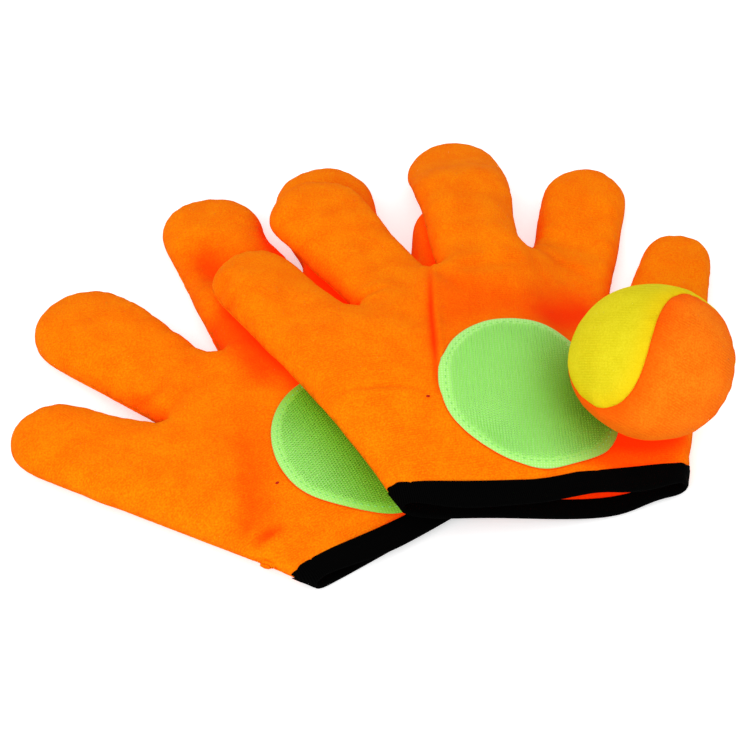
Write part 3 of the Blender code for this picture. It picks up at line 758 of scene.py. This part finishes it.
def shape_cloth(name, bag):
    """Sews and wrinkles the bag: a groove along the seam, small puckers that run in from it,
    soft hollows and swells all over, and the folds that the hand has left. It notes the shade
    painted in the folds and hollows as the tone attribute."""
    tone = bag.verts.layers.float.new("tone")
    seam = seam_points(bag)
    fixed = set(seam)
    inner = [v for v in bag.verts if not v.is_boundary and v not in fixed]
    fill_out(bag, point_tree([v.co for v in seam]))
    lay_lips(name, bag)
    tree = point_tree([v.co for v in seam])
    for _ in range(2):
        bmesh.ops.smooth_vert(bag, verts=inner, factor=0.35,
                              use_axis_x=True, use_axis_y=True, use_axis_z=True)
    bag.normal_update()
    moves = []
    for vert in bag.verts:
        place = vert.co.copy()
        at, _, gap = tree.find(place)
        parts = {f.material_index for f in vert.link_faces}
        lift = -SEAM_GROOVE * math.exp(-(gap / SEAM_GROOVE_WIDTH) ** 2)
        pucker = noise.noise(at * PUCKER_TURNS[0])
        pucker += 0.3 * noise.noise(at * PUCKER_TURNS[1] + Vector((3, 1, 7)))
        lift += PUCKER * pucker * math.exp(-((gap - PUCKER_FROM_SEAM) / PUCKER_REACH) ** 2)
        if parts & {PALM, PALM_BAND}:
            lift += SWELLS[0] * noise.noise(place * SWELL_TURNS[0])
            lift += SWELLS[1] * noise.noise(place * SWELL_TURNS[1] + Vector((5, 2, 9)))
            marks = [fold_at(fold, place.xy) for fold in FOLDS[name]]
            marks += [hollow_at(hollow, place.xy) for hollow in HOLLOWS[name]]
            lift += sum(mark[0] for mark in marks)
            # Painted shade in the folds and hollows
            vert[tone] = min(1, sum(mark[1] for mark in marks))
        if parts & {PALM_BAND, BACK_BAND}:
            lift *= 0.3
        moves.append((vert, place + lift * vert.normal))
    for vert, place in moves:
        vert.co = place
        vert.co.z = max(vert.co.z, FLOOR_GAP)
    bag.normal_update()


def keep_under(lower, upper):
    """Presses the lower bag's upper side down wherever the upper bag lies on it or in it."""
    tree = BVHTree.FromBMesh(upper)
    for vert in lower.verts:
        hit = tree.ray_cast(vert.co - Vector((0, 0, 0.006)), Vector((0, 0, 1)), 0.0075)[0]
        if hit is not None and vert.normal.z > 0:
            vert.co.z = min(vert.co.z, hit.z - GLOVE_GAP)
    lower.normal_update()


def wrist_line(own):
    """How far a place in the glove's own axes lies from the bowed edge of the wrist."""
    return own.y + WRIST_BOW * (1 - (own.x / WRIST_HALF) ** 2)


def even_edge(name, leaf, width):
    """Makes the far edge of a leaf of tape run smoothly."""
    edge = {v for v in leaf.verts
            if v.is_boundary and wrist_line(own_place(name, v.co)) > 0.6 * width}
    pairs = {v: [e.other_vert(v) for e in v.link_edges if e.is_boundary] for v in edge}
    for _ in range(40):
        moves = {v: (a.co + b.co) / 2 for v, (a, b) in pairs.items() if a in edge and b in edge}
        for vert, place in moves.items():
            vert.co = vert.co.lerp(place, 0.5)


def tape_over(name, bag, band):
    """Tape folded over one panel's wrist edge: an outside and an inside leaf joined by a round
    fold, made from the panel's own band so that it lies on it everywhere. The inside leaf is
    the narrower one."""
    glove = GLOVES[name]
    tape = only(bag, {band})
    set_off(tape, TAPE_GAP + TAPE)
    even_edge(name, tape, TAPE_WIDTH)
    inside = only(bag, {band})
    set_off(inside, -(CLOTH + TAPE_GAP))
    wide = [f for f in inside.faces
            if wrist_line(own_place(name, f.calc_center_median())) > glove.inside]
    bmesh.ops.delete(inside, geom=wide, context="FACES")
    even_edge(name, inside, min(glove.inside, TAPE_WIDTH))
    bmesh.ops.reverse_faces(inside, faces=inside.faces)
    absorb(tape, inside)
    rims = []
    for edge in tape.edges:
        ends = [own_place(name, v.co) for v in edge.verts]
        across = (ends[0] - ends[1]).normalized()
        if (edge.is_boundary and abs(across.x) > 0.5
                and wrist_line((ends[0] + ends[1]) / 2) < 0.4 * glove.inside):
            rims.append(edge)
    made = bmesh.ops.bridge_loops(tape, edges=rims)
    crossing = {e for f in made["faces"] for e in f.edges} - set(rims)
    split = bmesh.ops.subdivide_edges(tape, edges=list(crossing), cuts=2, use_grid_fill=True)
    outward = Matrix.Rotation(glove.turn, 2) @ Vector((0, -TAPE_FOLD))
    for item in split["geom_inner"]:
        if isinstance(item, bmesh.types.BMVert):
            item.co.xy += outward
    bmesh.ops.recalc_face_normals(tape, faces=tape.faces)
    return tape


def make_glove(name, bag, looks, beside):
    """All pieces of a glove. Beside is the surface of what stands next to its patch."""
    glove = GLOVES[name]
    tree = BVHTree.FromBMesh(bag)
    worn = {"palm": dress_palm(name, tree, beside, looks), "back": []}
    for side, cloth, band in (("palm", PALM, PALM_BAND), ("back", BACK, BACK_BAND)):
        tape = tape_over(name, bag, band)
        lay_out(tape, glove.wrist, glove.turn)
        tape = new_piece(f"{name}_{side}_tape", tape, looks["tape"], TAPE)
        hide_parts(f"{name}_{side}_binding")
        sheet = only(bag, {cloth, band})
        width, length, area = lay_out(sheet, glove.wrist, glove.turn)
        new_piece(f"{name}_{side}", sheet, looks["glove"], CLOTH)
        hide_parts(f"{name}_{side}_panel")


# Hook patches and tacks

def highest(tree, place):
    """Where a surface lies under a place, and its normal there."""
    return tree.ray_cast(Vector((*place, 0.2)), Vector((0, 0, -1)))[:2]


def on_patch(place):
    """Where a place on the round pattern of the patch lies on the real one, which is a little
    longer than wide and flatter on one side."""
    turned = math.atan2(place.y, place.x) - PATCH_FLAT_AT
    flat = PATCH_FLAT * math.exp(-(math.remainder(turned, math.tau) / PATCH_FLAT_REACH) ** 2)
    inward = 1 - flat * (place.length / PATCH_RADIUS) ** 2
    return Vector((inward * place.x, inward * PATCH_STRETCH * place.y))


def shaded(mesh, beside):
    """Notes at each point how closely something else stands beside it, 0 to 1, as the share of
    shade painted there.
    """
    tone = mesh.verts.layers.float.new("tone")
    for vert in mesh.verts:
        gap = beside.find_nearest(vert.co, 0.05)[3]
        vert[tone] = 0 if gap is None else math.exp(-(gap / PATCH_SHADE_REACH) ** 2)


def patch_disc(glove, tree):
    """The round patch: its section with a rounded rim is spun round its middle, and then every
    point is laid on the palm."""
    top = PATCH_GAP + PATCH_CLOTH
    middle = PATCH_GAP + PATCH_CLOTH / 2
    inner = PATCH_RADIUS - 0.0007
    section = [(inner * i / 13, top) for i in range(14)]
    section += [(PATCH_RADIUS - PATCH_BEVEL, top - PATCH_BEVEL), (PATCH_RADIUS, middle)]
    section += [(PATCH_RADIUS - PATCH_BEVEL, PATCH_GAP + PATCH_BEVEL)]
    section += [(inner * i / 8, PATCH_GAP) for i in range(8, -1, -1)]
    disc = bmesh.new()
    verts = [disc.verts.new((x, 0, z)) for x, z in section]
    edges = [disc.edges.new(pair) for pair in zip(verts, verts[1:])]
    bmesh.ops.spin(disc, geom=verts + edges, cent=(0, 0, 0), axis=(0, 0, 1), dvec=(0, 0, 0),
                   angle=math.tau, steps=110, use_merge=True, use_duplicate=False)
    bmesh.ops.remove_doubles(disc, verts=disc.verts, dist=0.00001)
    bmesh.ops.recalc_face_normals(disc, faces=disc.faces)
    turn = Matrix.Rotation(glove.turn, 2)
    for vert in disc.verts:
        at = on_patch(vert.co.xy)
        place, normal = highest(tree, glove.wrist + turn @ (glove.patch + at))
        vert.co = place + vert.co.z * normal
    for _ in range(2):
        bmesh.ops.smooth_vert(disc, verts=disc.verts, factor=0.5,
                              use_axis_x=False, use_axis_y=False, use_axis_z=True)
    return disc


def standing(place, normal, turn):
    """Placement of a piece that stands on a surface and is turned round its own axis."""
    upright = Vector((0, 0, 1)).rotation_difference(normal).to_matrix()
    return Matrix.Translation(place) @ (upright @ Matrix.Rotation(turn, 3, "Z")).to_4x4()


def dress_palm(name, tree, beside, looks):
    """The hook patch, its rows of hooks, the stitches round it, and the palm's red tack."""
    glove = GLOVES[name]
    turn = Matrix.Rotation(glove.turn, 2)
    disc = patch_disc(glove, tree)
    # Painted shade on the patch beside what stands next to it
    shaded(disc, beside)
    top = BVHTree.FromBMesh(disc)
    lay_out(disc, glove.wrist, glove.turn + glove.row_turn)
    patch = new_piece(f"{name}_patch", disc, looks["hook_ground"])
    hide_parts(f"{name}_hook_patch")

    hook = bmesh.new()
    bmesh.ops.create_cone(hook, segments=4, radius1=HOOK_FOOT, radius2=HOOK_NECK,
                          depth=HOOK_HEIGHT, cap_ends=True)
    bmesh.ops.translate(hook, verts=hook.verts, vec=(0, 0, HOOK_HEIGHT / 2))
    head = [f for f in hook.faces if f.calc_center_median().z > 0.9 * HOOK_HEIGHT]
    tip = bmesh.ops.extrude_discrete_faces(hook, faces=head)["faces"][0]
    bmesh.ops.rotate(hook, verts=tip.verts, cent=(0.0003, 0, HOOK_HEIGHT),
                     matrix=Matrix.Rotation(HOOK_LEAN, 3, "Y"))
    bmesh.ops.translate(hook, verts=tip.verts, vec=(0.0002, 0, 0.0001))
    rows = Matrix.Rotation(glove.row_turn, 2)
    reach = PATCH_RADIUS - PATCH_RIM - HOOK_EDGE
    placements = []
    for i in range(-30, 31):
        for j in range(-34, 35):
            loose = noise.noise_vector(Vector((i * 0.7, j * 0.9, glove.turn)))
            at = Vector((i * HOOK_ROW, (j + i % 2 / 2) * HOOK_PITCH)) + HOOK_LOOSE * loose.xy
            if at.length < reach:
                at = on_patch(rows @ at)
                place, normal = highest(top, glove.wrist + turn @ (glove.patch + at))
                facing = glove.turn + glove.row_turn - math.pi / 2 + 0.3 * loose.z
                placements.append(standing(place, normal, facing))
    hooks = repeated(f"{name}_hooks", hook, placements, looks["hooks"], beside)

    stitch = bmesh.new()
    bmesh.ops.create_icosphere(stitch, subdivisions=1, radius=1)
    bmesh.ops.scale(stitch, verts=stitch.verts, vec=STITCH_SIZE)
    placements = []
    radius = PATCH_RADIUS - PATCH_RIM
    number = round(math.tau * radius / STITCH_PITCH)
    for k in range(number):
        angle = math.tau * k / number
        at = on_patch(radius * Vector((math.cos(angle), math.sin(angle))))
        place, normal = highest(top, glove.wrist + turn @ (glove.patch + at))
        placements.append(standing(place, normal, glove.turn + angle + math.pi / 2))
    stitches = repeated(f"{name}_patch_stitches", stitch, placements, looks["green_thread"])

    knot = bmesh.new()
    bmesh.ops.create_icosphere(knot, subdivisions=2, radius=TACK_RADIUS)
    bmesh.ops.scale(knot, verts=knot.verts, vec=(1.2, 0.8, 0.6))
    place, normal = highest(tree, TACKS[name])
    tack = repeated(f"{name}_tack", knot, [standing(place, normal, glove.turn)],
                    looks["red_thread"])
    return [patch, hooks, stitches, tack]


def repeated(name, pattern, placements, look, beside=None):
    """One piece with a copy of the pattern at each placement, with shade painted by how close
    the surface beside lies if one is given.
    """
    single = bpy.data.meshes.new("pattern")
    pattern.to_mesh(single)
    pattern.free()
    whole = bmesh.new()
    for placement in placements:
        copy = single.copy()
        copy.transform(placement)
        whole.from_mesh(copy)
        bpy.data.meshes.remove(copy)
    bpy.data.meshes.remove(single)
    if beside:
        shaded(whole, beside)
    return new_piece(name, whole, look)


# Ball

def ball_panel(node, centre, half):
    """A ball panel's outer skin, smooth, with its edge sewn down into the seam and shade painted
    along it.
    """
    skin = welded_copy(node)

    def out(place):
        gap = place - centre
        return Vector((gap.x / half.x, gap.y / half.y, gap.z / half.z)).length
    inner = [v for v in skin.verts if out(v.co) < 1 - 0.5 * BALL_CAD_WALL / half.x]
    bmesh.ops.delete(skin, geom=inner, context="VERTS")
    skin = refined(skin, 3)
    tone = skin.verts.layers.float.new("tone")
    for vert in [v for v in skin.verts if v.is_boundary]:
        inner = [e.other_vert(vert) for e in vert.link_edges if not e.is_boundary]
        if inner:
            vert.co += BALL_SEAM_OVERLAP * (vert.co - inner[0].co).normalized()
    tree = point_tree([v.co.copy() for v in skin.verts if v.is_boundary])
    for vert in skin.verts:
        gap = vert.co - centre
        on_skin = centre + gap / out(vert.co)
        at, _, near = tree.find(vert.co)
        # Painted shade along the seam
        vert[tone] = BALL_SHADE * math.exp(-(near / BALL_SHADE_REACH) ** 2)
        lift = -BALL_GROOVE * math.exp(-(near / BALL_GROOVE_WIDTH) ** 2)
        lift += BALL_SWELL * math.exp(-((near - BALL_SWELL_FROM_SEAM) / BALL_SWELL_REACH) ** 2)
        pucker = noise.noise(at * BALL_PUCKER_TURNS)
        lift += BALL_PUCKER * pucker * math.exp(
            -((near - BALL_PUCKER_FROM_SEAM) / BALL_PUCKER_REACH) ** 2)
        lift += BALL_LUMP * noise.noise(on_skin * BALL_LUMP_TURNS)
        vert.co = on_skin + lift * gap.normalized()
    skin.normal_update()
    return skin


def make_ball(looks):
    """The ball's cover, a skin over each of the CAD's two panels."""
    low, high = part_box("ball_yellow_panel")
    low2, high2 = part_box("ball_orange_panel")
    low = Vector(min(a, b) for a, b in zip(low, low2))
    high = Vector(max(a, b) for a, b in zip(high, high2))
    centre = (low + high) / 2
    half = (high - low) / 2
    for key, slot in (("yellow", "yellow_knit"), ("orange", "ball_orange_knit")):
        skin = ball_panel(f"ball_{key}_panel", centre, half)
        for face in skin.faces:
            face.material_index = 0
        piece = new_piece(f"ball_{key}_skin", skin, looks[key], BALL_CLOTH)
        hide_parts(f"ball_{key}_panel")


# Stage

def seen_directly(tree):
    """1 for what the camera sees straight, in a reflection or through something clear."""
    rays = add(tree, "ShaderNodeLightPath")
    first = add(tree, "ShaderNodeMath", {
        0: rays.outputs["Is Camera Ray"], 1: rays.outputs["Is Glossy Ray"]}, operation="MAXIMUM")
    second = add(tree, "ShaderNodeMath", {
        0: first.outputs[0], 1: rays.outputs["Is Transmission Ray"]}, operation="MAXIMUM")
    return second.outputs[0]


def make_stage():
    """White paper floor that looks evenly lit and keeps a faint shadow, even light from all
    round with a soft lamp on the left in front, and the camera."""
    floor_mesh = bmesh.new()
    bmesh.ops.create_grid(floor_mesh, x_segments=1, y_segments=1, size=4)
    data = bpy.data.meshes.new("floor")
    floor_mesh.to_mesh(data)
    floor_mesh.free()
    floor = bpy.data.objects.new("floor", data)
    bpy.context.collection.objects.link(floor)
    made, tree, shader = new_material("white_paper", {
        "Base Color": linear("F4F4F4"), "Roughness": 0.9, "Specular IOR Level": 0.0})
    data.materials.append(made)
    seen = seen_directly(tree)
    glow = add(tree, "ShaderNodeEmission", {"Color": (1, 1, 1, 1), "Strength": 0.45})
    both = add(tree, "ShaderNodeAddShader", {0: shader.outputs[0], 1: glow.outputs[0]})
    pick = add(tree, "ShaderNodeMixShader", {0: seen, 1: shader.outputs[0], 2: both.outputs[0]})
    output = tree.nodes["Material Output"]
    tree.links.new(pick.outputs[0], output.inputs["Surface"])

    world = bpy.data.worlds.new("studio")
    bpy.context.scene.world = world
    world.use_nodes = True
    tree = world.node_tree
    background = tree.nodes["Background"]
    strength = add(tree, "ShaderNodeMapRange", {
        "Value": seen_directly(tree), "To Min": 0.80, "To Max": 1.0})
    tree.links.new(strength.outputs["Result"], background.inputs["Strength"])
    background.inputs["Color"].default_value = (1, 1, 1, 1)

    for name, place, size, power in (("key", (-0.40, -0.95, 0.80), 0.6, 6.5),
                                     ("fill", (0.9, -0.6, 0.7), 0.8, 1.5)):
        light = bpy.data.lights.new(name, "AREA")
        light.energy = power
        light.size = size
        lamp = bpy.data.objects.new(name, light)
        lamp.location = place
        lamp.rotation_euler = (-Vector(place)).to_track_quat("-Z", "Y").to_euler()
        bpy.context.collection.objects.link(lamp)

    lens = bpy.data.cameras.new("camera")
    lens.lens = 118.1
    lens.sensor_width = 36
    camera = bpy.data.objects.new("camera", lens)
    aim = Vector((0.0004, -0.0256, 0.0150))
    tilt = math.radians(45)
    camera.location = aim + Vector((0, -math.cos(tilt), math.sin(tilt)))
    camera.rotation_euler = (math.radians(90) - tilt, 0, 0)
    bpy.context.collection.objects.link(camera)
    bpy.context.scene.camera = camera
    bpy.context.scene.view_settings.view_transform = "Standard"


looks = make_materials()
bags = {name: glove_bag(name) for name in GLOVES}
for name, bag in bags.items():
    shape_cloth(name, bag)
keep_under(bags["rear_glove"], bags["front_glove"])
upper = BVHTree.FromBMesh(bags["front_glove"])
make_glove("rear_glove", bags["rear_glove"], looks, upper)
make_glove("front_glove", bags["front_glove"], looks,
           tree_of("ball_filling"))
make_ball(looks)
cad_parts["ball_filling"].data.materials[0] = looks["filling"]
make_stage()
